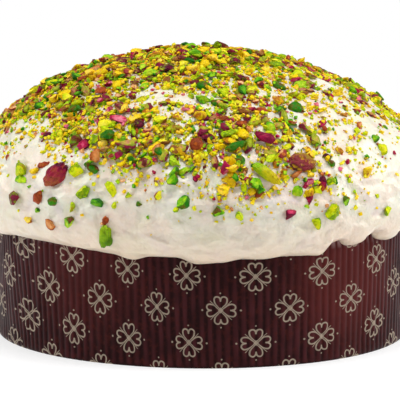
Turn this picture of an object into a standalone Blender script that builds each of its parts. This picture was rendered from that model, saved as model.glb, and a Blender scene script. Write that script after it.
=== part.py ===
"""A low iced panettone in its fluted paper mould, with chopped pistachios on the icing.

Metres, +Z up. The origin is the middle of the mould's underside, and the front is towards -Y.
Azimuths are in degrees round +Z from the front, positive towards +X.
"""

import math
import random

import bmesh
import bpy
from mathutils import Matrix, Vector, noise

MM = 0.001
GAP = 0.3 * MM  # what neighbouring solids keep between them
TINY = 0.002 * MM  # shorter edges than this are dissolved

# Paper mould
MOULD_RADIUS = 105.0 * MM  # over the flutes
MOULD_HEIGHT = 60.0 * MM
FLUTES = 128
FLUTE_DEPTH = 0.8 * MM
MOULD_INNER_RADIUS = 103.2 * MM
FLOOR_THICKNESS = 1.2 * MM
INNER_SIDES = 64

# Icing, which gives the cake its outer shape
DOME_RADIUS = 118.0 * MM  # where it bulges out most
BULGE_HEIGHT = 74.0 * MM
DOME_RISE = 70.0 * MM  # from the bulge to the top
DOME_POWER = 1.85  # 2 is an ellipse, and less is more pointed
LIP_POWER = 2.6  # 2 is an ellipse, and more is a fuller lip
ICING_THICKNESS = 5.0 * MM
EDGE_HEIGHT = 58.8 * MM  # of the icing's lower edge between its runs
LUMP_HEIGHT = 1.3 * MM
LUMP_LENGTH = 26.0 * MM
ICING_SIDES = 80
DOME_RINGS = 12
LIP_RINGS = 4

# Runs of icing down the paper: azimuth, half width, drop
FRONT_RUNS = (
    (-84.0, 10.0 * MM, 2.5 * MM),
    (-70.0, 8.0 * MM, 1.2 * MM),
    (-57.0, 8.0 * MM, 1.4 * MM),
    (-38.0, 10.0 * MM, 1.0 * MM),
    (-29.0, 7.0 * MM, 1.8 * MM),
    (-18.5, 7.5 * MM, 5.2 * MM),
    (-9.5, 10.0 * MM, 3.9 * MM),
    (0.0, 7.5 * MM, 6.9 * MM),
    (9.0, 8.0 * MM, 4.9 * MM),
    (16.5, 9.0 * MM, 5.2 * MM),
    (25.0, 9.0 * MM, 4.6 * MM),
    (31.0, 5.5 * MM, 4.6 * MM),
    (41.6, 4.5 * MM, 1.9 * MM),
    (54.9, 5.5 * MM, 3.3 * MM),
    (68.0, 7.0 * MM, 2.4 * MM),
    (82.0, 8.0 * MM, 3.0 * MM),
)
BACK_RUNS = 13
BACK_FROM, BACK_TO = 98.0, 262.0
RUN_SEED = 11

# Bread
BREAD_SIDES = 40
BREAD_RINGS = 7
SHOULDER_RINGS = 3

# Chopped pistachios fused to the icing
CHOPPED = 218
CHOPPED_SEED = 9
GOLDEN_TURN = 137.508
DENSE_REACH = 118.0 * MM  # along the dome from its top
SPARSE_REACH = 156.0 * MM
DENSE_SHARE = 0.88
LONGEST_CHOP = 9.5 * MM
SHORTEST_CHOP = 5.5 * MM
CHOP_SUNK = 0.36  # of its height

# Whole kernels, each a piece of its own: azimuth, distance from the top, turn, length, width, height
KERNELS = (
    (-36.9, 132.0 * MM, 50.0, 13.8 * MM, 9.4 * MM, 8.0 * MM),
    (25.2, 123.4 * MM, 3.0, 14.0 * MM, 9.6 * MM, 6.0 * MM),
    (15.3, 128.8 * MM, -50.0, 16.0 * MM, 5.6 * MM, 5.4 * MM),
    (-22.8, 158.9 * MM, 86.0, 10.6 * MM, 5.8 * MM, 5.0 * MM),
    (84.0, 116.0 * MM, 25.0, 13.0 * MM, 8.0 * MM, 7.0 * MM),
    (141.0, 131.0 * MM, -35.0, 14.0 * MM, 8.5 * MM, 7.0 * MM),
    (196.0, 96.0 * MM, 70.0, 12.5 * MM, 8.0 * MM, 6.5 * MM),
    (257.0, 128.0 * MM, 10.0, 13.5 * MM, 8.5 * MM, 7.0 * MM),
)
KERNEL_SUNK = 0.3  # of its height
KERNEL_SIDES = 10
KERNEL_RINGS = 6
KERNEL_CLEARANCE = 11.0 * MM  # from its middle to the nearest chopped nut


def clear_scene():
    for thing in list(bpy.data.objects):
        bpy.data.objects.remove(thing)


def object_from(bm, name):
    """A named object made from a bmesh, which is used up, with its faces turned outwards."""
    bmesh.ops.recalc_face_normals(bm, faces=bm.faces)
    if bm.calc_volume(signed=True) < 0.0:
        bmesh.ops.reverse_faces(bm, faces=bm.faces)
    mesh = bpy.data.meshes.new(name)
    bm.to_mesh(mesh)
    bm.free()
    thing = bpy.data.objects.new(name, mesh)
    bpy.context.scene.collection.objects.link(thing)
    return thing


def paint(thing, name, colour, roughness):
    material = bpy.data.materials.new(name)
    material.use_nodes = True
    shader = material.node_tree.nodes["Principled BSDF"]
    shader.inputs["Base Color"].default_value = (*colour, 1.0)
    shader.inputs["Roughness"].default_value = roughness
    shader.inputs["Metallic"].default_value = 0.0
    thing.data.materials.clear()
    thing.data.materials.append(material)


def apply_boolean(thing, operation, solver="EXACT", other=None, collection=None):
    """Applies one Boolean with an object or a collection, and removes what it used."""
    modifier = thing.modifiers.new(operation.lower(), "BOOLEAN")
    modifier.operation = operation
    modifier.solver = solver
    if collection:
        modifier.operand_type = "COLLECTION"
        modifier.collection = collection
    else:
        modifier.object = other
    bpy.context.view_layer.objects.active = thing
    bpy.ops.object.modifier_apply(modifier=modifier.name)
    for used in list(collection.objects) if collection else [other]:
        bpy.data.objects.remove(used)
    if collection:
        bpy.data.collections.remove(collection)


def keep_main_shell(thing):
    """Drops the loose scraps, and fills the sealed hollows, that the unions leave between nuts."""
    bm = bmesh.new()
    bm.from_mesh(thing.data)
    bmesh.ops.dissolve_degenerate(bm, edges=bm.edges, dist=TINY)
    unseen = set(bm.faces)
    shells = []
    while unseen:
        shell = {unseen.pop()}
        edge_of_shell = list(shell)
        while edge_of_shell:
            face = edge_of_shell.pop()
            for edge in face.edges:
                for near in edge.link_faces:
                    if near in unseen:
                        unseen.discard(near)
                        shell.add(near)
                        edge_of_shell.append(near)
        shells.append(shell)
    shells.sort(key=len)
    scraps = [face for shell in shells[:-1] for face in shell]
    bmesh.ops.delete(bm, geom=scraps, context="FACES")
    bm.to_mesh(thing.data)
    bm.free()


def bridge_rings(bm, rings):
    """Quads between each ring of vertices and the next."""
    for upper, lower in zip(rings, rings[1:]):
        count = len(upper)
        for i in range(count):
            j = (i + 1) % count
            bm.faces.new((upper[i], lower[i], lower[j], upper[j]))


def turned(name, profile, sides):
    """A closed turned solid from a profile of (radius, height) that starts and ends on the axis."""
    bm = bmesh.new()
    verts = [bm.verts.new((radius, 0.0, height)) for radius, height in profile]
    edges = [bm.edges.new(pair) for pair in zip(verts, verts[1:])]
    bmesh.ops.spin(
        bm,
        geom=verts + edges,
        axis=(0.0, 0.0, 1.0),
        cent=(0.0, 0.0, 0.0),
        angle=math.tau,
        steps=sides,
        use_merge=True,
    )
    bmesh.ops.remove_doubles(bm, verts=bm.verts, dist=1e-6)
    return object_from(bm, name)


def place_round(azimuth, radius, height):
    angle = math.radians(azimuth)
    return Vector((radius * math.sin(angle), -radius * math.cos(angle), height))


def icing_runs():
    """All runs of icing: those that the front shows, and like ones round the back."""
    draw = random.Random(RUN_SEED)
    runs = list(FRONT_RUNS)
    step = (BACK_TO - BACK_FROM) / (BACK_RUNS - 1)
    for i in range(BACK_RUNS):
        azimuth = BACK_FROM + step * (i + draw.uniform(-0.25, 0.25))
        runs.append((azimuth, draw.uniform(5.0, 11.0) * MM, draw.uniform(1.5, 5.5) * MM))
    return runs


def edge_height(azimuth, runs):
    """How high the icing's lower edge is there."""
    drop = 0.0
    for centre, half_width, depth in runs:
        turn = (azimuth - centre + 180.0) % 360.0 - 180.0
        along = math.radians(turn) * MOULD_RADIUS / half_width
        drop = max(drop, depth * math.exp(-(along**4)))
    return EDGE_HEIGHT - drop


def dome_height(radius, shrink=0.0):
    """Height of the dome over that radius, on a surface that lies shrink inside the icing's."""
    share = min(radius / (DOME_RADIUS - shrink), 1.0)
    return BULGE_HEIGHT + (DOME_RISE - shrink) * math.sqrt(1.0 - share**DOME_POWER)


def dome_profile(shrink, rings):
    """(radius, height) from the top down to the bulge."""
    points = []
    for i in range(rings + 1):
        radius = (DOME_RADIUS - shrink) * math.sin(math.pi / 2 * i / rings)
        points.append((radius, dome_height(radius, shrink)))
    return points


def lip_profile(edge, inner_radius, rings):
    """(radius, height) from below the bulge, round the lip and in to the paper."""
    points = []
    for i in range(1, rings + 1):
        angle = math.pi / 2 * i / rings
        across = math.cos(angle) ** (2.0 / LIP_POWER) if i < rings else 0.0
        down = math.sin(angle) ** (2.0 / LIP_POWER)
        radius = inner_radius + (DOME_RADIUS - inner_radius) * across
        points.append((radius, BULGE_HEIGHT - (BULGE_HEIGHT - edge) * down))
    return points


def lumped(point):
    """The point moved in or out by the icing's own unevenness."""
    out = Vector((point.x, point.y, point.z - BULGE_HEIGHT / 2)).normalized()
    return point + out * LUMP_HEIGHT * noise.noise(point / LUMP_LENGTH)


def on_dome(azimuth, distance):
    """The point of the iced dome that far along it from the top, and its outward normal."""
    step = 0.5 * MM
    radius, run = 0.0, 0.0
    while run < distance and radius < DOME_RADIUS - step:
        rise = dome_height(radius) - dome_height(radius + step)
        run += math.hypot(step, rise)
        radius += step
    slope = (dome_height(radius) - dome_height(radius + step)) / step
    below = max(distance - run, 0.0)
    point = place_round(azimuth, radius, dome_height(radius) - below)
    side = place_round(azimuth, slope, 0.0)
    return lumped(point), Vector((side.x, side.y, 1.0)).normalized()


def frame_at(azimuth, distance, turn):
    """A matrix that stands +Z on the dome there, with +X round the cake when turn is 0."""
    point, normal = on_dome(azimuth, distance)
    round_cake = place_round(azimuth + 90.0, 1.0, 0.0)
    across = (round_cake - normal * round_cake.dot(normal)).normalized()
    turned_by = Matrix.Rotation(math.radians(turn), 4, normal)
    across = turned_by @ across
    matrix = Matrix((across, normal.cross(across), normal)).transposed().to_4x4()
    matrix.translation = point
    return matrix


def make_mould():
    """Fluted wall and flat floor: a fluted block, hollowed from above."""
    bm = bmesh.new()
    rings = []
    for height in (0.0, MOULD_HEIGHT):
        ring = []
        for i in range(FLUTES):
            for half, radius in ((0.0, MOULD_RADIUS), (0.5, MOULD_RADIUS - FLUTE_DEPTH)):
                azimuth = 360.0 * (i + half) / FLUTES
                ring.append(bm.verts.new(place_round(azimuth, radius, height)))
        rings.append(ring)
    bridge_rings(bm, rings)
    for ring in rings:
        bm.faces.new(ring)
    mould = object_from(bm, "paper_mould")
    inside = MOULD_INNER_RADIUS
    top = MOULD_HEIGHT + 10.0 * MM
    hollow = turned("hollow", ((0.0, FLOOR_THICKNESS), (inside, FLOOR_THICKNESS), (inside, top), (0.0, top)), INNER_SIDES)
    apply_boolean(mould, "DIFFERENCE", other=hollow)
    paint(mould, "brown printed paper", (0.045, 0.018, 0.016), 0.5)


def bread_profile(grow):
    """(radius, height) of the bread from its top to its underside, grown outwards by grow."""
    shrink = ICING_THICKNESS - grow
    points = dome_profile(shrink, BREAD_RINGS)
    rim = MOULD_HEIGHT + GAP - grow
    neck = MOULD_INNER_RADIUS - GAP + grow
    bulge = DOME_RADIUS - shrink
    for i in range(1, SHOULDER_RINGS + 1):
        angle = math.pi / 2 * i / (SHOULDER_RINGS + 1)
        radius = neck + (bulge - neck) * math.cos(angle)
        points.append((radius, BULGE_HEIGHT - (BULGE_HEIGHT - rim) * math.sin(angle)))
    points.append((neck, rim))
    foot = FLOOR_THICKNESS + GAP - grow
    points.append((neck, foot))
    points.append((0.0, foot))
    return points


def make_bread():
    bread = turned("bread", bread_profile(0.0), BREAD_SIDES)
    bread.data.shade_smooth()
    paint(bread, "yellow crumb", (0.75, 0.47, 0.16), 0.85)


def make_icing_block():
    """The dome with its lip and runs, solid down to the level of its lower edge."""
    runs = icing_runs()
    bm = bmesh.new()
    top = bm.verts.new(lumped(Vector((0.0, 0.0, dome_height(0.0)))))
    upper = dome_profile(0.0, DOME_RINGS)[1:]
    inner_radius = MOULD_RADIUS - 3.0 * MM
    count = DOME_RINGS + LIP_RINGS
    rings = [[] for _ in range(count)]
    for i in range(ICING_SIDES):
        azimuth = 360.0 * i / ICING_SIDES
        column = upper + lip_profile(edge_height(azimuth, runs), inner_radius, LIP_RINGS)
        for ring, (radius, height) in zip(rings, column):
            ring.append(bm.verts.new(lumped(place_round(azimuth, radius, height))))
    bridge_rings(bm, rings)
    for i in range(ICING_SIDES):
        bm.faces.new((top, rings[0][i], rings[0][(i + 1) % ICING_SIDES]))
    middle = bm.verts.new((0.0, 0.0, EDGE_HEIGHT))
    for i in range(ICING_SIDES):
        bm.faces.new((middle, rings[-1][(i + 1) % ICING_SIDES], rings[-1][i]))
    return object_from(bm, "icing")


def make_chop(matrix, length, width, height, draw):
    """One chopped piece of nut: a block with uneven corners."""
    bm = bmesh.new()
    bmesh.ops.create_cube(bm, size=1.5)
    for vert in bm.verts:
        for axis in range(3):
            vert.co[axis] *= draw.uniform(0.65, 1.2)
    lift = height * (0.5 - CHOP_SUNK)
    size = Matrix.Diagonal((length / 2, width / 2, height / 2, 1.0))
    spin = Matrix.Rotation(draw.uniform(0.0, math.tau), 4, draw_axis(draw))
    bm.transform(matrix @ Matrix.Translation((0.0, 0.0, lift)) @ size @ spin)
    return object_from(bm, "chop")


def draw_axis(draw):
    return Vector((draw.uniform(-1, 1), draw.uniform(-1, 1), draw.uniform(-1, 1))).normalized()


def chop_distance(i):
    """Distance from the top of the dome: close together on top, and sparse down the side."""
    dense = int(CHOPPED * DENSE_SHARE)
    if i < dense:
        return DENSE_REACH * math.sqrt((i + 0.5) / dense)
    share = (i - dense + 0.5) / (CHOPPED - dense)
    return DENSE_REACH + (SPARSE_REACH - DENSE_REACH) * share


def scatter_chops():
    """The largest chopped pieces, spread by the golden angle, clear of the whole kernels."""
    draw = random.Random(CHOPPED_SEED)
    chops = bpy.data.collections.new("chops")
    kernels = [on_dome(kernel[0], kernel[1])[0] for kernel in KERNELS]
    for i in range(CHOPPED):
        azimuth = GOLDEN_TURN * i
        distance = chop_distance(i)
        length = draw.uniform(SHORTEST_CHOP, LONGEST_CHOP)
        width = length * draw.uniform(0.55, 0.85)
        height = length * draw.uniform(0.45, 0.7)
        turn = draw.uniform(0.0, 360.0)
        matrix = frame_at(azimuth, distance, turn)
        if min((matrix.translation - point).length for point in kernels) < KERNEL_CLEARANCE:
            continue
        chop = make_chop(matrix, length, width, height, draw)
        bpy.context.scene.collection.objects.unlink(chop)
        chops.objects.link(chop)
    return chops


def make_kernel(name, kernel, grow=0.0):
    """A whole pistachio kernel: long, flatter underneath, with one end more pointed."""
    azimuth, distance, turn, length, width, height = kernel
    bm = bmesh.new()
    bmesh.ops.create_uvsphere(bm, u_segments=KERNEL_SIDES, v_segments=KERNEL_RINGS, radius=1.0)
    bmesh.ops.rotate(bm, verts=bm.verts, matrix=Matrix.Rotation(math.pi / 2, 3, "Y"))
    for vert in bm.verts:
        narrow = 1.0 - 0.22 * max(vert.co.x, 0.0) ** 2
        vert.co.y *= narrow
        vert.co.z *= narrow
    half = Vector((length / 2 + grow, width / 2 + grow, height / 2 + grow))
    lift = Matrix.Translation((0.0, 0.0, height * (0.5 - KERNEL_SUNK)))
    bm.transform(frame_at(azimuth, distance, turn) @ lift @ Matrix.Diagonal((*half, 1.0)))
    return object_from(bm, name)


def make_icing():
    """The icing over the bread and the mould's rim, with the chopped nuts and a seat for each kernel."""
    icing = make_icing_block()
    bread_room = turned("bread room", bread_profile(GAP), BREAD_SIDES)
    apply_boolean(icing, "DIFFERENCE", other=bread_room)
    over_paper = MOULD_RADIUS + GAP
    rim_top = MOULD_HEIGHT + GAP
    mould_room = turned("mould room", ((0.0, 0.0), (over_paper, 0.0), (over_paper, rim_top), (0.0, rim_top)), INNER_SIDES)
    apply_boolean(icing, "DIFFERENCE", other=mould_room)
    apply_boolean(icing, "UNION", solver="MANIFOLD", collection=scatter_chops())
    seats = bpy.data.collections.new("seats")
    for kernel in KERNELS:
        seat = make_kernel("seat", kernel, grow=1.5 * GAP)
        bpy.context.scene.collection.objects.unlink(seat)
        seats.objects.link(seat)
    apply_boolean(icing, "DIFFERENCE", solver="MANIFOLD", collection=seats)
    keep_main_shell(icing)
    paint(icing, "white chocolate icing", (0.86, 0.82, 0.72), 0.35)


def make_kernels():
    for number, kernel in enumerate(KERNELS, 1):
        whole = make_kernel(f"kernel_{number}", kernel)
        whole.data.shade_smooth()
        paint(whole, f"pistachio kernel {number}", (0.22, 0.06, 0.08), 0.55)


def main():
    clear_scene()
    make_mould()
    make_bread()
    make_icing()
    make_kernels()


main()
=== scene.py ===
"""A low iced panettone in its fluted, printed paper mould, dressed as it was photographed.

Metres, +Z up, in the part's own frame: the origin is the middle of the mould's underside, and
the front is towards -Y. Azimuths are in degrees round +Z from the front, positive towards +X.
A place on the dome is an azimuth and a distance along the dome from its top.
"""

import math
import random

import bmesh
import bpy
import numpy as np
from mathutils import Matrix, Vector, noise
from mathutils.bvhtree import BVHTree


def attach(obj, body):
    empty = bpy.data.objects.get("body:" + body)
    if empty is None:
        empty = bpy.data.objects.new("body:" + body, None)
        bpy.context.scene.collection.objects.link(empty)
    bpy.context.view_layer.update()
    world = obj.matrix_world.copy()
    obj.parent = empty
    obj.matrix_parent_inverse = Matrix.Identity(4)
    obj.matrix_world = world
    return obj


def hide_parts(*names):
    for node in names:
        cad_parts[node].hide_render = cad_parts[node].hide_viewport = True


MM = 0.001

# Paper mould: the part's sizes, with flutes as fine as the paper's own
MOULD_RADIUS = 105.0 * MM  # over the flutes
MOULD_HEIGHT = 60.0 * MM
MOULD_INNER_RADIUS = 103.2 * MM
FLOOR_THICKNESS = 1.2 * MM
FLUTES = 166
FLUTE_DEPTH = 0.66 * MM
FLUTE_STEPS = 6
PAPER_THICKNESS = 0.5 * MM

# Icing: the part's dome and lip
DOME_RADIUS = 118.0 * MM
BULGE_HEIGHT = 74.0 * MM
DOME_RISE = 70.0 * MM
DOME_POWER = 1.85
LIP_POWER = 2.6
ICING_THICKNESS = 5.0 * MM
EDGE_HEIGHT = 58.8 * MM
LUMP_HEIGHT = 1.3 * MM
LUMP_LENGTH = 26.0 * MM
# How far the icing has settled over the top, and on the right shoulder: azimuth, height, how deep
SETTLED = 1.1 * MM
SHOULDER = (92.0, 118.0 * MM, 1.0 * MM)
GAP = 0.3 * MM
# The icing's lower edge across the front: azimuth, height
FRONT_EDGE = (
    (-78.0, 55.6 * MM),
    (-72.1, 54.2 * MM),
    (-65.2, 55.1 * MM),
    (-55.1, 56.7 * MM),
    (-44.5, 56.6 * MM),
    (-33.3, 55.7 * MM),
    (-28.3, 55.0 * MM),
    (-23.7, 54.2 * MM),
    (-17.8, 51.9 * MM),
    (-12.8, 53.9 * MM),
    (-6.5, 53.8 * MM),
    (-1.2, 50.7 * MM),
    (4.4, 51.3 * MM),
    (10.0, 52.9 * MM),
    (15.0, 52.6 * MM),
    (21.0, 53.6 * MM),
    (27.4, 53.2 * MM),
    (31.0, 52.6 * MM),
    (33.6, 58.2 * MM),
    (37.8, 59.4 * MM),
    (40.4, 56.0 * MM),
    (42.6, 55.8 * MM),
    (45.0, 59.2 * MM),
    (47.8, 61.6 * MM),
    (50.4, 60.6 * MM),
    (53.0, 56.6 * MM),
    (55.8, 55.4 * MM),
    (59.0, 57.6 * MM),
    (63.0, 60.8 * MM),
    (75.0, 56.0 * MM),
    (82.0, 57.6 * MM),
)
BACK_RUNS = 11
BACK_FROM, BACK_TO = 94.0, 270.0
EDGE_SEED = 5
ICING_SIDES = 400
DOME_RINGS = 110
# Faint tints in the icing: colour, noise scale, where it starts and is full, and its share there
ICING_TINTS = (
    ("F0D8C6", 42.0, 0.45, 0.63, 0.65),
    ("EFEFD2", 47.0, 0.52, 0.7, 0.8),
    ("DCCCD2", 58.0, 0.56, 0.74, 0.55),
)
LIP_RINGS = 34

# Whole kernels, as in the part: azimuth, distance from the top, turn, length, width, height
KERNELS = (
    (-36.9, 132.0 * MM, 50.0, 14.0 * MM, 8.9 * MM, 8.0 * MM),
    (25.2, 123.4 * MM, 3.0, 14.0 * MM, 9.6 * MM, 6.0 * MM),
    (15.3, 128.8 * MM, -50.0, 16.0 * MM, 5.6 * MM, 5.4 * MM),
    (-22.8, 158.9 * MM, 86.0, 10.6 * MM, 5.2 * MM, 5.0 * MM),
    (84.0, 116.0 * MM, 25.0, 13.0 * MM, 8.0 * MM, 7.0 * MM),
    (141.0, 131.0 * MM, -35.0, 14.0 * MM, 8.5 * MM, 7.0 * MM),
    (196.0, 96.0 * MM, 70.0, 12.5 * MM, 8.0 * MM, 6.5 * MM),
    (257.0, 128.0 * MM, 10.0, 13.5 * MM, 8.5 * MM, 7.0 * MM),
)
KERNEL_SUNK = 0.3

# Nuts: how far down the heap reaches by azimuth, in mm along the dome, and where it is thin
CROWD_AZIMUTHS = (-180, -120, -70, -60, -50, -40, -30, -20, -10, 0, 10, 20, 30, 40, 50, 60, 100, 130, 180)
CROWD_HALF = (120, 114, 107, 105, 106, 115, 121, 121, 124, 128, 134, 134, 130, 126, 118, 108, 112, 118, 120)
CROWD_SHARE = (0.9, 0.9, 0.95, 0.95, 0.95, 1, 1, 1, 1, 1, 0.92, 0.6, 0.4, 0.26, 0.22, 0.22, 0.3, 0.8, 0.9)
BARE_PATCHES = (
    (-15.0, 77.0 * MM, 34.0 * MM, 13.0 * MM, 0.99),
    (-60.0, 109.0 * MM, 18.0 * MM, 9.0 * MM, 0.85),
    (-42.0, 119.0 * MM, 12.0 * MM, 6.0 * MM, 0.8),
    (62.0, 71.0 * MM, 11.0 * MM, 11.0 * MM, 0.8),
    (62.0, 103.0 * MM, 20.0 * MM, 12.0 * MM, 0.8),
    (45.0, 108.0 * MM, 10.0 * MM, 8.0 * MM, 0.7),
    (-13.5, 136.0 * MM, 22.0 * MM, 8.0 * MM, 0.98),
    (16.0, 148.0 * MM, 24.0 * MM, 7.0 * MM, 0.98),
    (150.0, 96.0 * MM, 14.0 * MM, 9.0 * MM, 0.9),
    (215.0, 110.0 * MM, 16.0 * MM, 8.0 * MM, 0.9),
)
HEAP_REACH = 170
HEAP_LIMIT = 1.9 * MM
HEAP_FULL = 50.0
NUT_SEED = 21
CHUNK_CUTS = (2, 3, 3, 4)
CHUNK_WEAR = (0, 1, 0, 1, 0, 2)
FLAKE_CUTS = (2, 3)
CHIP_TRIES = 20500
CHIP_REACH = 157.0 * MM
# Long, middling and short pieces: their lengths in mm, and how many of each
CHIP_LENGTHS = ((5.6, 8.6), (3.8, 5.6), (2.2, 3.8))
LENGTH_SHARES = (0.15, 0.43, 0.42)
CRUMB_TRIES = 42000
CRUMB_REACH = 158.0 * MM
CRUMB_LENGTHS = ((0.6, 1.1), (1.1, 2.3))
CRUMB_LIMIT = 1.2 * MM
NUT_KINDS = {
    "green_pistachio": {
        "share": 18,
        "crumbs": 5,
        "size": 1.0,
        "thick": 0.52,
        "shape": "chunk",
        "rough": 0.34,
        "colours": (
            ("1C7A06", "4CA806", "7CC40C", "A0D414"),
            ("7CC010", "A8D018", "D0DC30"),
            ("1E6410", "3E7408", "6A6014", "6C2820"),
        ),
    },
    "lime_pistachio": {
        "share": 30,
        "crumbs": 40,
        "size": 0.95,
        "thick": 0.52,
        "shape": "chunk",
        "rough": 0.34,
        "colours": (
            ("AED004", "CCDA04", "E4E208", "F4E614"),
            ("D8DE08", "ECE41C", "F6EC48"),
            ("6C9408", "98AC0C", "A89418", "8A5420"),
        ),
    },
    "golden_pistachio": {
        "share": 24,
        "crumbs": 34,
        "size": 0.95,
        "thick": 0.52,
        "shape": "chunk",
        "rough": 0.34,
        "colours": (
            ("ECC802", "F8DA04", "FAB408", "FEE22C"),
            ("F8D40C", "FCE230", "FCD860"),
            ("C89808", "D8B40C", "B46C14"),
        ),
    },
    "skinned_pistachio": {
        "share": 13,
        "crumbs": 1,
        "size": 1.1,
        "thick": 0.45,
        "shape": "chunk",
        "rough": 0.34,
        "colours": (
            ("7C8A0C", "98A818", "A87420"),
            ("B8C42A", "D8B050", "C88070"),
            ("4E0E24", "7A1634", "8C1C40", "64241C"),
        ),
    },
    "toasted_pistachio": {
        "share": 9,
        "crumbs": 4,
        "size": 0.85,
        "thick": 0.5,
        "shape": "chunk",
        "rough": 0.4,
        "colours": (
            ("B85A1C", "D07C2C", "E89C50"),
            ("E8A05C", "F0BC84", "F4CEA0"),
            ("8A3A18", "AC4A20", "983430"),
        ),
    },
    "dried_raspberry": {
        "share": 9,
        "crumbs": 5,
        "size": 0.9,
        "thick": 0.35,
        "shape": "flake",
        "rough": 0.4,
        "colours": (
            ("8C0A34", "B01044", "CE2856", "E46C86"),
            ("BC1848", "D84870", "E88898"),
            ("560A2A", "820E38", "A81446"),
        ),
    },
}
# How the four kernels in the photo look, and those at the back like them
KERNEL_LOOKS = (
    {
        "name": "in its purple skin",
        "square": 2.0,
        "wrinkle": 0.17,
        "narrow": 0.2,
        "lumps": 0.06,
        "groove": 0.0,
        "along": 0.7,
        "side": 0.5,
        "start": -0.1,
        "skin": 1.0,
        "colours": (
            ("8E2A28", "A03A30", "B05A38"),
            ("9A3A30", "B05A3A"),
            ("A85A34", "A02A3C", "8A1238", "4E0A2A"),
        ),
    },
    {
        "name": "half, with a brown face",
        "square": 2.2,
        "wrinkle": 0.2,
        "narrow": 0.22,
        "lumps": 0.14,
        "groove": 0.1,
        "along": 0.5,
        "side": 0.5,
        "start": 0.0,
        "skin": 1.0,
        "colours": (
            ("B88A1C", "A87420"),
            ("B88A1C", "A87420"),
            ("4E1420", "7C2630", "8A3436", "9A7A1C", "B08E22"),
        ),
    },
    {
        "name": "long and green",
        "square": 2.0,
        "wrinkle": 0.08,
        "narrow": 0.15,
        "lumps": 0.1,
        "groove": 0.06,
        "along": 1.0,
        "side": 0.1,
        "start": 0.0,
        "skin": 0.0,
        "colours": (
            ("86C010", "A8BC10", "C8BC10", "C0A810"),
            ("9CD020", "B8C818", "D4C818"),
            ("86C010", "B0B010"),
        ),
    },
    {
        "name": "green",
        "square": 3.2,
        "wrinkle": 0.14,
        "narrow": 0.0,
        "lumps": 0.26,
        "groove": 0.05,
        "along": 0.8,
        "side": 0.3,
        "start": 0.0,
        "skin": 0.0,
        "colours": (
            ("3E6C06", "6C9C0A", "94B816"),
            ("6C9C0A", "94B816", "B4CC28"),
            ("2E7008", "608010"),
        ),
    },
)
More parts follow.
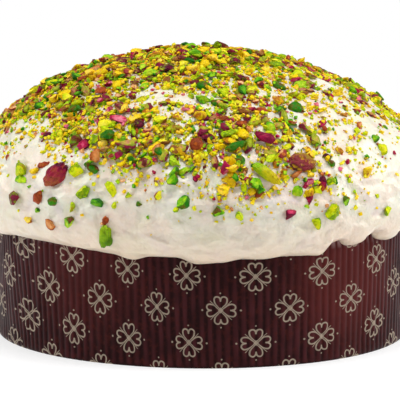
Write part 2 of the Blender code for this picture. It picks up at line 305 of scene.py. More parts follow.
# Single pieces: kind, azimuth, distance, turn, length, width, height (mm), tone
PLACED = (
    ("skinned_pistachio", -19.4, 114.4, -20, 12.0, 6.5, 3.0, 0.5),
    ("dried_raspberry", 20.4, 148.0, 60, 6.5, 5.6, 4.0, 0.35),
    ("lime_pistachio", 31.3, 148.0, 70, 8.0, 7.0, 5.5, 0.2),
    ("skinned_pistachio", -49.7, 145.5, 80, 7.0, 6.5, 4.5, 0.4),
    ("dried_raspberry", -26.1, 97.1, -8, 10.5, 5.0, 3.0, 0.75),
    ("toasted_pistachio", -41.2, 143.2, 60, 8.5, 5.0, 4.0, 0.2),
    ("toasted_pistachio", -36.9, 156.0, -35, 6.5, 4.5, 4.0, 0.2),
    ("toasted_pistachio", -22.5, 151.2, 80, 4.2, 3.2, 3.0, 0.15),
    ("green_pistachio", -32.0, 153.6, 10, 6.0, 5.6, 5.0, 0.6),
    ("green_pistachio", -4.2, 141.8, 30, 7.0, 6.5, 5.0, 0.3),
    ("green_pistachio", 3.6, 145.5, 10, 6.0, 4.8, 4.0, 0.5),
    ("lime_pistachio", 8.4, 148.0, 80, 4.5, 4.0, 3.5, 0.1),
    ("lime_pistachio", 26.8, 152.8, 80, 6.0, 5.0, 4.0, 0.1),
    ("lime_pistachio", 49.0, 150.9, 80, 5.0, 4.5, 4.0, 0.2),
    ("lime_pistachio", -49.9, 132.0, 30, 9.0, 6.5, 5.0, 0.2),
    ("green_pistachio", -48.7, 136.5, 0, 8.0, 4.0, 3.5, 0.7),
    ("golden_pistachio", -44.6, 131.8, 10, 7.0, 4.0, 3.5, 0.5),
    ("toasted_pistachio", -42.3, 128.0, 20, 7.5, 4.0, 3.5, 0.6),
    ("lime_pistachio", -31.8, 128.8, 20, 8.0, 7.0, 4.0, 0.3),
    ("green_pistachio", -28.2, 124.0, 60, 7.5, 4.5, 4.0, 0.4),
    ("toasted_pistachio", -26.6, 122.0, 80, 6.5, 5.0, 4.5, 0.1),
    ("green_pistachio", -27.0, 127.5, -20, 7.0, 4.0, 3.5, 0.5),
    ("dried_raspberry", -31.9, 115.8, 30, 6.8, 6.2, 4.5, 0.15),
    ("green_pistachio", -25.6, 110.3, 20, 7.5, 6.0, 4.5, 0.2),
    ("skinned_pistachio", -13.8, 124.8, 30, 7.0, 6.0, 4.5, 0.8),
    ("green_pistachio", -6.8, 128.1, 20, 6.5, 5.0, 4.5, 0.3),
    ("green_pistachio", -6.7, 131.5, 70, 6.0, 5.5, 4.0, 0.5),
    ("lime_pistachio", -21.7, 136.5, -50, 8.5, 4.5, 4.0, 0.3),
    ("lime_pistachio", -28.6, 139.2, 60, 7.0, 6.5, 5.0, 0.1),
    ("green_pistachio", -24.9, 143.5, 20, 7.0, 5.5, 4.5, 0.15),
    ("green_pistachio", -36.4, 144.5, 10, 5.0, 4.5, 3.5, 0.5),
    ("lime_pistachio", -31.5, 146.5, 80, 5.0, 4.0, 3.5, 0.5),
    ("green_pistachio", -41.5, 149.6, 10, 3.0, 2.6, 2.2, 0.4),
    ("golden_pistachio", -43.8, 154.8, 0, 5.0, 3.5, 2.5, 0.9),
    ("lime_pistachio", -20.4, 144.0, 80, 3.5, 2.5, 2.5, 0.3),
    ("lime_pistachio", -17.1, 139.2, 20, 3.5, 3.0, 2.5, 0.3),
    ("green_pistachio", -14.6, 142.8, 0, 3.0, 2.5, 2.5, 0.3),
    ("lime_pistachio", -10.1, 138.8, 80, 5.0, 4.0, 3.0, 0.8),
    ("lime_pistachio", -5.9, 145.0, 10, 3.0, 2.5, 2.0, 0.3),
    ("golden_pistachio", 5.0, 135.2, 60, 6.5, 6.0, 4.5, 0.6),
    ("green_pistachio", 13.4, 136.0, 20, 4.5, 4.0, 3.5, 0.3),
    ("golden_pistachio", 11.6, 136.6, 10, 4.5, 4.0, 3.0, 0.3),
    ("green_pistachio", 35.1, 143.5, 70, 4.8, 4.0, 3.5, 0.5),
    ("dried_raspberry", 29.4, 133.9, 70, 5.8, 4.6, 3.6, 0.1),
    ("lime_pistachio", 31.6, 134.1, 50, 5.0, 4.6, 3.6, 0.1),
    ("green_pistachio", 22.5, 137.6, 30, 6.0, 5.5, 4.0, 0.6),
    ("golden_pistachio", 25.6, 138.2, 60, 6.0, 4.5, 3.5, 0.5),
    ("dried_raspberry", 25.5, 141.2, 40, 5.0, 4.0, 3.0, 0.2),
    ("dried_raspberry", 16.3, 110.2, -30, 10.5, 5.0, 3.2, 0.45),
    ("skinned_pistachio", 30.7, 104.6, -20, 8.5, 6.5, 4.0, 0.5),
    ("green_pistachio", 52.1, 114.6, 10, 5.0, 4.5, 4.0, 0.3),
    ("lime_pistachio", 52.2, 121.1, 40, 8.0, 5.0, 4.0, 0.4),
    ("skinned_pistachio", 25.6, 37.1, 20, 6.0, 5.0, 4.0, 0.2),
    ("skinned_pistachio", 7.4, 43.1, 0, 8.0, 4.5, 3.5, 0.3),
    ("skinned_pistachio", 50.4, 70.4, 80, 6.5, 5.0, 4.0, 0.6),
    ("golden_pistachio", 60.0, 80.0, 10, 6.0, 5.0, 4.0, 0.4),
    ("dried_raspberry", 75.7, 82.2, -35, 7.5, 3.5, 2.5, 0.2),
    ("lime_pistachio", 72.8, 86.4, 10, 7.0, 4.0, 3.5, 0.3),
    ("lime_pistachio", 83.1, 92.8, 10, 5.0, 4.5, 3.5, 0.3),
    ("green_pistachio", 8.4, 114.9, 20, 12.5, 4.2, 3.5, 0.35),
    ("golden_pistachio", -55.4, 62.0, 20, 9.0, 6.0, 4.5, 0.5),
)

# The print on the paper, in millimetres: clovers of four hearts in a half-drop repeat
PRINT_COLUMNS = 38
COLUMN_PITCH = math.tau * 105.0 / PRINT_COLUMNS
ROW_PITCH = 31.6
EVEN_ROW = 28.5  # height of an even column's clover
# How the paper has drawn the print: azimuth, the clovers' width, and the height of the whole print
CLOVER_STRETCH = (
    (-180, 0.9, 0.96),
    (-75, 0.75, 0.87),
    (-60, 0.68, 0.885),
    (-50, 0.74, 0.895),
    (-43, 0.83, 0.903),
    (-35, 0.855, 0.912),
    (-27, 0.877, 0.93),
    (-12, 0.955, 0.962),
    (-4, 0.925, 0.983),
    (5, 0.89, 0.988),
    (14, 0.86, 0.99),
    (23, 0.877, 1.0),
    (31, 0.925, 0.995),
    (45, 0.945, 0.995),
    (60, 0.96, 1.0),
    (90, 0.92, 0.98),
    (180, 0.9, 0.96),
)
# How the paper leans: azimuth, how far sideways for each mm down from MID_WALL, and there, in mm
PAPER_LEAN = (
    (-180, 0.0, 0.0),
    (-100, 0.1, 0.6),
    (-59, 0.2, 1.3),
    (-50, 0.09, 1.4),
    (-42, 0.06, 1.1),
    (-34, 0.025, 1.2),
    (-26, 0.025, 1.25),
    (-19, 0.025, 0.95),
    (-11, 0.045, -0.45),
    (-3, 0.048, -1.25),
    (5, 0.028, -1.3),
    (14, 0.016, -0.5),
    (24, -0.01, 0.0),
    (35, 0.0, 0.3),
    (47, -0.027, 0.1),
    (58, -0.037, 0.1),
    (90, -0.04, 0.0),
    (180, 0.0, 0.0),
)
MID_WALL = 28.0
# Painted warm reflected light that reddens the paper: the middle, how far it reaches, and how strong it is
WARM_GLOW_PATCHES = (
    ((0.072, -0.076, 0.042), 0.048, 0.42),
    ((-0.058, -0.087, 0.046), 0.044, 0.2),
)
HEART_TIP = 0.38  # from the clover's middle
TIP_SLANT = math.radians(42.5)
TIP_END = 2.25
FLANK = (5.05, -0.95, 3.87)  # the arc of a heart's side: middle along, middle across, radius
FLANK_END = 5.08
LOBE = (5.1, 1.55, 1.37)
HEART_STROKE = 0.7

# Studio
TABLE_RADIUS = 0.7
ROOM_LIGHT = 0.25


def linear(hex_colour):
    """An sRGB hex colour as the linear RGBA that Blender's nodes take."""
    channels = [int(hex_colour[i : i + 2], 16) / 255 for i in (0, 2, 4)]
    curve = [c / 12.92 if c <= 0.04045 else ((c + 0.055) / 1.055) ** 2.4 for c in channels]
    return (*curve, 1.0)


def add(tree, kind, inputs=None, **settings):
    """Adds a node with its settings. Each input is a value, or the socket that feeds it."""
    node = tree.nodes.new(kind)
    for key, value in settings.items():
        setattr(node, key, value)
    for key, value in (inputs or {}).items():
        if isinstance(value, bpy.types.NodeSocket):
            tree.links.new(value, node.inputs[key])
        else:
            node.inputs[key].default_value = value
    return node


def new_material(name):
    """An empty material: its tree and the surface socket to feed."""
    material = bpy.data.materials.new(name)
    material.use_nodes = True
    tree = material.node_tree
    tree.nodes.clear()
    return material, tree, tree.nodes.new("ShaderNodeOutputMaterial").inputs["Surface"]


def finished(bm, name, smooth=True):
    """A scene object made from a bmesh, which is used up. Its faces keep their shading with None."""
    mesh = bpy.data.meshes.new(name)
    if smooth is not None:
        for face in bm.faces:
            face.smooth = smooth
    bm.to_mesh(mesh)
    bm.free()
    piece = bpy.data.objects.new(name, mesh)
    bpy.context.scene.collection.objects.link(piece)
    return piece


def facing_out(bm):
    """Turns the faces outwards."""
    bmesh.ops.recalc_face_normals(bm, faces=bm.faces)
    if bm.calc_volume(signed=True) < 0.0:
        bmesh.ops.reverse_faces(bm, faces=bm.faces)


def azimuth_of(point):
    return math.degrees(math.atan2(point.x, -point.y))


def place_round(azimuth, radius, height):
    angle = math.radians(azimuth)
    return Vector((radius * math.sin(angle), -radius * math.cos(angle), height))


def smooth_step(low, high, value):
    share = min(max((value - low) / (high - low), 0.0), 1.0)
    return share * share * (3.0 - 2.0 * share)


# Paper mould


def print_drift(angle):
    """How far round, in mm, the print has wandered from even spacing, as the paper was wound."""
    azimuth = math.degrees(angle)
    left = 4.6 * smooth_step(-45.0, -62.0, azimuth) * smooth_step(-180.0, -110.0, azimuth)
    return left - 17.1 + 2.0 * math.cos(angle) + 4.0 * math.cos(2 * angle) + 5.3 * math.sin(2 * angle)


def print_lift(angle):
    """How far up, in mm, the print stands above its level at the front."""
    once = 2.2 * math.cos(angle) + 1.3 * math.sin(angle)
    twice = 2.4 * math.cos(2 * angle) + 1.1 * math.sin(2 * angle)
    return 4.5 - once - twice


def paper_lean(azimuth, height):
    """How far round, in mm, the paper's lean has taken flutes and print there, and the print's own shift."""
    azimuths, leans, pushes = np.array(PAPER_LEAN).T
    azimuth = (azimuth + 180.0) % 360.0 - 180.0
    down = MID_WALL - height / MM
    return float(np.interp(azimuth, azimuths, leans)) * down, float(np.interp(azimuth, azimuths, pushes))


def rim_bend(height):
    """How far the wall has bent inwards towards its rim there, from 0 to 1."""
    return smooth_step(MOULD_HEIGHT - 5.0 * MM, MOULD_HEIGHT + 1.0 * MM, height)


def wall_radius(azimuth, height):
    """The fluted wall's outer radius: broad crests, narrow valleys, and paper that isn't quite true."""
    angle = math.radians(azimuth)
    spot = Vector((math.sin(angle), -math.cos(angle), height / MOULD_HEIGHT))
    waver = 0.10 * noise.noise(spot * Vector((9.0, 9.0, 2.0)))
    lean = math.degrees(paper_lean(azimuth, height)[0] * MM / MOULD_RADIUS)
    turns = (azimuth - lean) / 360.0 * FLUTES + waver
    valley = (0.5 - 0.5 * math.cos(math.tau * turns)) ** 1.5
    depth = 0.72 * FLUTE_DEPTH * (1.0 + 0.7 * noise.noise(spot * Vector((40.0, 40.0, 1.2))))
    depth *= 0.25 + 0.75 * smooth_step(0.0, 4.0 * MM, height)
    rounded = 0.9 * MM * rim_bend(height)
    foot = 0.5 * MM * (1.0 - smooth_step(0.0, 1.6 * MM, height))
    swell = 0.25 * MM * noise.noise(spot * 3.0)
    return MOULD_RADIUS - depth * valley - rounded - foot + swell


def ring_edges(geometry):
    """The outer edges and vertices of what an extrusion of edges gave."""
    verts = {part for part in geometry if isinstance(part, bmesh.types.BMVert)}
    edges = [part for part in geometry if isinstance(part, bmesh.types.BMEdge)]
    return verts, [edge for edge in edges if set(edge.verts) <= verts]


def lay_print_uv(bm):
    """UV maps in the plane of the flat paper: print in mm, and OFBake as strips one over another."""
    print_uv = bm.loops.layers.uv.new("print")
    width_uv = bm.loops.layers.uv.new("clover_width")
    bake_uv = bm.loops.layers.uv.new("OFBake")
    turns, widths, heights = np.array(CLOVER_STRETCH).T
    strips, spare = 3, 36.0
    strip = math.tau * MOULD_RADIUS / MM / strips
    height = MOULD_HEIGHT / MM + 2.0
    side = max(strip + 4.0, strips * height + spare)
    for face in bm.faces:
        middle = azimuth_of(face.calc_center_median())
        for loop in face.loops:
            point = loop.vert.co
            azimuth = azimuth_of(point)
            azimuth += 360.0 * round((middle - azimuth) / 360.0)
            angle = math.radians(azimuth)
            along = angle * MOULD_RADIUS / MM
            level = point.z / MM
            wrapped = (azimuth + 180.0) % 360.0 - 180.0
            lean, push = paper_lean(wrapped, point.z)
            drift = print_drift(math.radians(wrapped)) - lean - push
            drawn = MID_WALL + (level - MID_WALL) * np.interp(wrapped, turns, heights)
            loop[print_uv].uv = (along + drift, drawn - print_lift(angle))
            loop[width_uv].uv = (np.interp(wrapped, turns, widths), 0.0)
            if face.material_index == 0:
                row = min(int((middle + 180.0) / 360.0 * strips), strips - 1)
                start = strip * (row - strips / 2)
                loop[bake_uv].uv = ((along - start + 2.0) / side, (row * height + level + 1.0) / side)
            else:
                across = point.xy / (2.0 * MOULD_RADIUS) + Vector((0.5, 0.5))
                base = strips * height + 1.0
                corner = 1.0 if face.normal.z < 0.0 else spare + 1.0
                across *= spare - 2.0
                loop[bake_uv].uv = ((across.x + corner) / side, (across.y + base) / side)


def mark_crest_sheen(bm):
    """How near each place is to the crest of its flute, 1 on the crest, for the painted sheen on the crests
    in the paper's colour.
    """
    crest_sheen = bm.verts.layers.float.new("crest_sheen")
    for vert in bm.verts:
        azimuth = azimuth_of(vert.co)
        valley = MOULD_RADIUS - wall_radius(azimuth, vert.co.z) - 0.9 * MM * rim_bend(vert.co.z)
        strength = 0.75 + 0.7 * noise.noise(vert.co * 160.0)
        vert[crest_sheen] = strength * (1.0 - smooth_step(-0.1, 0.5, valley / FLUTE_DEPTH))


def make_mould():
    """The fluted wall, its rim, and the flat floor, from one ring drawn up, over and down."""
    bm = bmesh.new()
    count = FLUTES * FLUTE_STEPS
    bmesh.ops.create_circle(bm, cap_ends=True, segments=count, radius=MOULD_RADIUS)
    for vert in bm.verts:
        azimuth = azimuth_of(vert.co)
        vert.co = place_round(azimuth, wall_radius(azimuth, 0.0) - 0.3 * MM, 0.0)
    rows = [0.4, 1.0, 2.0] + [4.0 + 4.0 * i for i in range(13)] + [54.0, 56.0, 57.5, 59.0, 60.0]
    edges = list(bm.edges)
    for row in rows:
        verts, edges = ring_edges(bmesh.ops.extrude_edge_only(bm, edges=edges)["geom"])
        for vert in verts:
            azimuth = azimuth_of(vert.co)
            vert.co = place_round(azimuth, wall_radius(azimuth, row * MM), row * MM)
    outside = set(bm.faces)
    inside = ((MOULD_HEIGHT, PAPER_THICKNESS), (MOULD_HEIGHT - 2.0 * MM, None), (FLOOR_THICKNESS, None))
    for height, step_in in inside:
        verts, edges = ring_edges(bmesh.ops.extrude_edge_only(bm, edges=edges)["geom"])
        for vert in verts:
            azimuth = azimuth_of(vert.co)
            radius = MOULD_INNER_RADIUS if step_in is None else vert.co.xy.length - step_in
            vert.co = place_round(azimuth, radius, height)
    bmesh.ops.edgeloop_fill(bm, edges=edges)
    for face in bm.faces:
        flat_floor = face in outside and len(face.verts) > 4
        face.material_index = 1 if face not in outside or flat_floor else 0
    facing_out(bm)
    bm.normal_update()
    lay_print_uv(bm)
    mark_crest_sheen(bm)
    mould = finished(bm, "fluted_mould")
    mould.data.materials.append(printed_paper())
    mould.data.materials.append(plain_paper())
    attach(mould, "root")
    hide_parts("paper_mould")


def print_steps():
    """The clover as sums: each line names a result, and gives its operation and what goes in."""
    slope = math.sqrt(0.5)
    return (
        # Which clover, and where in it: p across and q up from its middle
        ("columns", "MULTIPLY", "u", 1.0 / COLUMN_PITCH),
        ("column", "ROUND", "columns"),
        ("column part", "SUBTRACT", "columns", "column"),
        ("across", "MULTIPLY", "column part", COLUMN_PITCH),
        ("wide", "ABSOLUTE", "across"),
        ("p", "MULTIPLY", "wide", "width"),
        ("odd", "PINGPONG", "column", 1.0),
        ("drop", "MULTIPLY_ADD", "odd", 0.5, -EVEN_ROW / ROW_PITCH),
        ("rows", "MULTIPLY_ADD", "v", 1.0 / ROW_PITCH, "drop"),
        ("row", "ROUND", "rows"),
        ("row part", "SUBTRACT", "rows", "row"),
        ("up", "MULTIPLY", "row part", ROW_PITCH),
        ("q", "ABSOLUTE", "up"),
        # The nearest heart, with its length along a and half its width along b
        ("a", "MAXIMUM", "p", "q"),
        ("b", "MINIMUM", "p", "q"),
        ("tip a", "SUBTRACT", "a", HEART_TIP),
        ("tip b", "MULTIPLY", "b", math.cos(TIP_SLANT)),
        ("signed tip", "MULTIPLY_ADD", "tip a", -math.sin(TIP_SLANT), "tip b"),
        ("off tip", "ABSOLUTE", "signed tip"),
        ("flank a", "SUBTRACT", "a", FLANK[0]),
        ("flank b", "SUBTRACT", "b", FLANK[1]),
        ("flank a2", "MULTIPLY", "flank a", "flank a"),
        ("flank 2", "MULTIPLY_ADD", "flank b", "flank b", "flank a2"),
        ("flank", "SQRT", "flank 2"),
        ("flank gap", "SUBTRACT", "flank", FLANK[2]),
        ("off flank", "ABSOLUTE", "flank gap"),
        ("lobe a", "SUBTRACT", "a", LOBE[0]),
        ("lobe b", "SUBTRACT", "b", LOBE[1]),
        ("lobe a2", "MULTIPLY", "lobe a", "lobe a"),
        ("lobe 2", "MULTIPLY_ADD", "lobe b", "lobe b", "lobe a2"),
        ("lobe", "SQRT", "lobe 2"),
        ("lobe gap", "SUBTRACT", "lobe", LOBE[2]),
        ("off lobe", "ABSOLUTE", "lobe gap"),
        ("past tip", "GREATER_THAN", "a", TIP_END),
        ("flank less tip", "SUBTRACT", "off flank", "off tip"),
        ("off side", "MULTIPLY_ADD", "flank less tip", "past tip", "off tip"),
        ("past flank", "GREATER_THAN", "a", FLANK_END),
        ("lobe less side", "SUBTRACT", "off lobe", "off side"),
        ("off outline", "MULTIPLY_ADD", "lobe less side", "past flank", "off side"),
        ("growing", "MULTIPLY_ADD", "a", 0.05, 0.13),
        ("half stroke", "MINIMUM", "growing", HEART_STROKE / 2),
        ("heart", "SUBTRACT", "off outline", "half stroke"),
        # The drop that hangs in the heart's notch
        ("spur a", "SUBTRACT", "a", 5.1),
        ("spur far", "ABSOLUTE", "spur a"),
        ("spur over", "SUBTRACT", "spur far", 0.6),
        ("spur end", "MAXIMUM", "spur over", 0.0),
        ("spur end 2", "MULTIPLY", "spur end", "spur end"),
        ("spur 2", "MULTIPLY_ADD", "b", "b", "spur end 2"),
        ("spur middle", "SQRT", "spur 2"),
        ("spur", "SUBTRACT", "spur middle", 0.38),
        # The diamond in the middle
        ("p and q", "ADD", "p", "q"),
        ("diamond q", "MULTIPLY", "q", 0.6),
        ("diamond pq", "MULTIPLY_ADD", "p", 0.7, "diamond q"),
        ("diamond", "SUBTRACT", "diamond pq", 0.85),
        # A long and a short stalk between the hearts
        ("stalk along", "MULTIPLY", "p and q", slope),
        ("p less q", "SUBTRACT", "p", "q"),
        ("long middle", "MULTIPLY_ADD", "p less q", slope, -0.25),
        ("long off", "ABSOLUTE", "long middle"),
        ("long side", "SUBTRACT", "long off", 0.15),
        ("long end", "SUBTRACT", "stalk along", 6.6),
        ("long stalk", "MAXIMUM", "long side", "long end"),
        ("short middle", "MULTIPLY_ADD", "p less q", slope, 0.4),
        ("short off", "ABSOLUTE", "short middle"),
        ("short side", "SUBTRACT", "short off", 0.12),
        ("short end", "SUBTRACT", "stalk along", 4.7),
        ("short stalk", "MAXIMUM", "short side", "short end"),
        # Dots above and below, and the one beside each clover, in the next column's space
        ("beside at", "DIVIDE", 8.7, "width"),
        ("next at", "SUBTRACT", COLUMN_PITCH, "beside at"),
        ("next far", "SUBTRACT", "wide", "next at"),
        ("next p", "MULTIPLY", "next far", "width"),
        ("next p2", "MULTIPLY", "next p", "next p"),
        ("next q", "SUBTRACT", "q", ROW_PITCH / 2),
        ("next 2", "MULTIPLY_ADD", "next q", "next q", "next p2"),
        ("next middle", "SQRT", "next 2"),
        ("next", "SUBTRACT", "next middle", 0.45),
        ("over q", "SUBTRACT", "q", 8.15),
        ("over q2", "MULTIPLY", "over q", "over q"),
        ("over 2", "MULTIPLY_ADD", "p", "p", "over q2"),
        ("over middle", "SQRT", "over 2"),
        ("over", "SUBTRACT", "over middle", 0.38),
        # The nearest of them all
        ("hearts", "MINIMUM", "heart", "spur"),
        ("stalks", "MINIMUM", "long stalk", "short stalk"),
        ("clover", "MINIMUM", "hearts", "diamond"),
        ("clover stalks", "MINIMUM", "clover", "stalks"),
        ("dots", "MINIMUM", "next", "over"),
        ("print", "MINIMUM", "clover stalks", "dots"),
    )


def clover_print(tree):
    """A socket that is 1 on the print's ink and 0 on bare paper."""
    uv = add(tree, "ShaderNodeUVMap", uv_map="print")
    split = add(tree, "ShaderNodeSeparateXYZ", {"Vector": uv.outputs["UV"]})
    width_uv = add(tree, "ShaderNodeUVMap", uv_map="clover_width")
    width = add(tree, "ShaderNodeSeparateXYZ", {"Vector": width_uv.outputs["UV"]})
    results = {
        "u": split.outputs["X"],
        "v": split.outputs["Y"],
        "width": width.outputs["X"],
    }
    for name, operation, *given in print_steps():
        inputs = {i: results[g] if isinstance(g, str) else g for i, g in enumerate(given)}
        results[name] = add(tree, "ShaderNodeMath", inputs, operation=operation).outputs[0]
    edge = {"Value": results["print"], "From Min": 0.07, "From Max": -0.07}
    return add(tree, "ShaderNodeMapRange", edge).outputs["Result"]


def printed_paper():
    """Dark brown mould paper, satin, with a grey-beige print worn in patches, painted sheen on the flute
    crests and below the rim, and painted warm reflected light in patches.
    """
    material, tree, surface = new_material("brown fluted paper, printed")
    place = add(tree, "ShaderNodeTexCoord").outputs["Object"]
    mottle = add(tree, "ShaderNodeTexNoise", {"Vector": place, "Scale": 420.0, "Detail": 4.0})
    patches = add(tree, "ShaderNodeTexNoise", {"Vector": place, "Scale": 60.0, "Detail": 3.0})
    # Painted sheen: the flute crests lighter and greyer, the valleys darker, as the light falls across the
    # flutes.
    crest_sheen = add(tree, "ShaderNodeAttribute", attribute_name="crest_sheen").outputs["Fac"]
    crest_sheen_mix = {"Factor": crest_sheen, "A": linear("220607"), "B": linear("471D21")}
    brown = add(tree, "ShaderNodeMix", crest_sheen_mix, data_type="RGBA")
    redder = {"Value": mottle.outputs["Fac"], "From Min": 0.48, "From Max": 0.72, "To Max": 0.65}
    red = add(tree, "ShaderNodeMapRange", redder)
    reddened = {"Factor": red.outputs["Result"], "A": brown.outputs["Result"], "B": linear("481812")}
    flecked = add(tree, "ShaderNodeMix", reddened, data_type="RGBA")
    darker = {"Value": patches.outputs["Fac"], "From Min": 0.5, "From Max": 0.75, "To Max": 0.5}
    dark = add(tree, "ShaderNodeMapRange", darker)
    darkened = {"Factor": dark.outputs["Result"], "A": flecked.outputs["Result"], "B": linear("1E0B0C")}
    shaded = add(tree, "ShaderNodeMix", darkened, data_type="RGBA")
    # Painted warm reflected light: the paper reddened in soft patches around each middle.
    for middle, reach, most in WARM_GLOW_PATCHES:
        away = add(tree, "ShaderNodeVectorMath", {0: place, 1: middle}, operation="DISTANCE")
        off = away.outputs["Value"]
        glow_falloff = {"Value": off, "From Min": reach, "From Max": 0.3 * reach, "To Max": most}
        glow_share = add(tree, "ShaderNodeMapRange", glow_falloff, interpolation_type="SMOOTHSTEP").outputs["Result"]
        glow_mix = {"Factor": glow_share, "A": shaded.outputs["Result"], "B": linear("6E2A26")}
        shaded = add(tree, "ShaderNodeMix", glow_mix, data_type="RGBA")
    # Painted sheen on the crests just below the rim, where the wall bends inwards under the light.
    level = add(tree, "ShaderNodeSeparateXYZ", {"Vector": place}).outputs["Z"]
    near_rim = {"Value": level, "From Min": 0.0545, "From Max": 0.0575}
    rim = add(tree, "ShaderNodeMapRange", near_rim).outputs["Result"]
    rim_sheen_share = add(tree, "ShaderNodeMath", {0: rim, 1: crest_sheen}, operation="MULTIPLY").outputs[0]
    rim_sheen_mix = {"Factor": rim_sheen_share, "A": shaded.outputs["Result"], "B": linear("9A7C7C")}
    paper = add(tree, "ShaderNodeMix", rim_sheen_mix, data_type="RGBA")
    worn = {"Value": mottle.outputs["Fac"], "From Min": 0.25, "From Max": 0.6, "To Min": 0.72, "To Max": 1.0}
    wear = add(tree, "ShaderNodeMapRange", worn)
    ink = add(
        tree,
        "ShaderNodeMath",
        {0: clover_print(tree), 1: wear.outputs["Result"]},
        operation="MULTIPLY",
    )
    colour = add(
        tree,
        "ShaderNodeMix",
        {"Factor": ink.outputs[0], "A": paper.outputs["Result"], "B": linear("A39482")},
        data_type="RGBA",
    )
    fibrous = {"Height": mottle.outputs["Fac"], "Strength": 0.25, "Distance": 0.0001}
    fibre = add(tree, "ShaderNodeBump", fibrous)
    shader = add(
        tree,
        "ShaderNodeBsdfPrincipled",
        {
            "Base Color": colour.outputs["Result"],
            "Roughness": 0.38,
            "Specular IOR Level": 0.07,
            "Normal": fibre.outputs["Normal"],
        },
    )
    tree.links.new(shader.outputs["BSDF"], surface)
    return material


def plain_paper():
    """The inside and the underside of the mould, brown and matt."""
    material, tree, surface = new_material("brown paper, plain")
    place = add(tree, "ShaderNodeTexCoord").outputs["Object"]
    mottle = add(tree, "ShaderNodeTexNoise", {"Vector": place, "Scale": 300.0, "Detail": 4.0})
    brown = add(
        tree,
        "ShaderNodeMix",
        {"Factor": mottle.outputs["Fac"], "A": linear("38201A"), "B": linear("52342A")},
        data_type="RGBA",
    )
    shader = add(
        tree,
        "ShaderNodeBsdfPrincipled",
        {"Base Color": brown.outputs["Result"], "Roughness": 0.7},
    )
    tree.links.new(shader.outputs["BSDF"], surface)
    return material


# Icing


def icing_edge():
    """The lower edge all round, azimuth by azimuth: what the front shows, and like runs at the back."""
    draw = random.Random(EDGE_SEED)
    edge = list(FRONT_EDGE)
    step = (BACK_TO - BACK_FROM) / (2 * BACK_RUNS)
    for i in range(2 * BACK_RUNS + 1):
        height = draw.uniform(51.5, 55.5) if i % 2 else draw.uniform(55.5, 58.5)
        edge.append((BACK_FROM + step * (i + draw.uniform(-0.3, 0.3)), height * MM))
    first_azimuth, first_height = edge[0]
    return edge + [(first_azimuth + 360.0, first_height)]


def edge_height(azimuth, edge):
    """How high the icing's lower edge is there, rounded off between the runs."""
    while azimuth < edge[0][0]:
        azimuth += 360.0
    for (start, height), (end, next_height) in zip(edge, edge[1:]):
        if azimuth <= end:
            return height + (next_height - height) * smooth_step(start, end, azimuth)
    return edge[-1][1]


def dome_height(radius, shrink=0.0):
    share = min(radius / (DOME_RADIUS - shrink), 1.0)
    return BULGE_HEIGHT + (DOME_RISE - shrink) * math.sqrt(1.0 - share**DOME_POWER)


def icing_profile():
    """(radius, height) from the top, over the lip, up the paper and back to the axis inside."""
    points = []
    for i in range(DOME_RINGS + 1):
        radius = DOME_RADIUS * math.sin(math.pi / 2 * i / DOME_RINGS)
        points.append((radius, dome_height(radius)))
    inner = MOULD_RADIUS + 0.1 * MM
    for i in range(1, LIP_RINGS + 1):
        angle = math.pi / 2 * i / LIP_RINGS
        across = math.cos(angle) ** (2.0 / LIP_POWER) if i < LIP_RINGS else 0.0
        down = math.sin(angle) ** (2.0 / LIP_POWER)
        height = BULGE_HEIGHT - (BULGE_HEIGHT - EDGE_HEIGHT) * down
        points.append((inner + (DOME_RADIUS - inner) * across, height))
    rim = MOULD_HEIGHT + GAP
    points += [(inner, rim), (MOULD_INNER_RADIUS, rim)]
    under = ICING_THICKNESS - GAP
    rings = 12
    for i in range(rings + 1):
        radius = (DOME_RADIUS - under) * math.cos(math.pi / 2 * i / rings)
        points.append((max(radius, 0.0), dome_height(radius, under)))
    return points


def icing_relief(point):
    """How far the icing stands out there from its true dome, in metres."""
    lumps = LUMP_HEIGHT * noise.noise(point / LUMP_LENGTH)
    dimples = 0.75 * MM * noise.noise(point / (11.0 * MM) + Vector((3.0, 7.0, 1.0)))
    low = 1.0 - smooth_step(86.0 * MM, 120.0 * MM, point.z)
    level = Vector((point.x, point.y, point.z * 1.7)) / (17.0 * MM)
    folds = (1.0 - abs(noise.noise(level + Vector((11.0, 2.0, 5.0))))) ** 4 - 0.5
    small = (1.0 - abs(noise.noise(level * 2.1 + Vector((4.0, 9.0, 2.0))))) ** 3 - 0.5
    fine = 0.6 * MM * noise.noise(point / (6.5 * MM)) + 0.24 * MM * noise.noise(point / (3.2 * MM))
    around, level_there, deep = SHOULDER
    off = (azimuth_of(point) - around) / 35.0
    shoulder = deep * math.exp(-(off**2) - ((point.z - level_there) / (17.0 * MM)) ** 2)
    settled = SETTLED * smooth_step(105.0 * MM, 138.0 * MM, point.z) + shoulder
    return lumps + dimples + low * (1.25 * folds + 0.95 * small) * MM + fine - settled


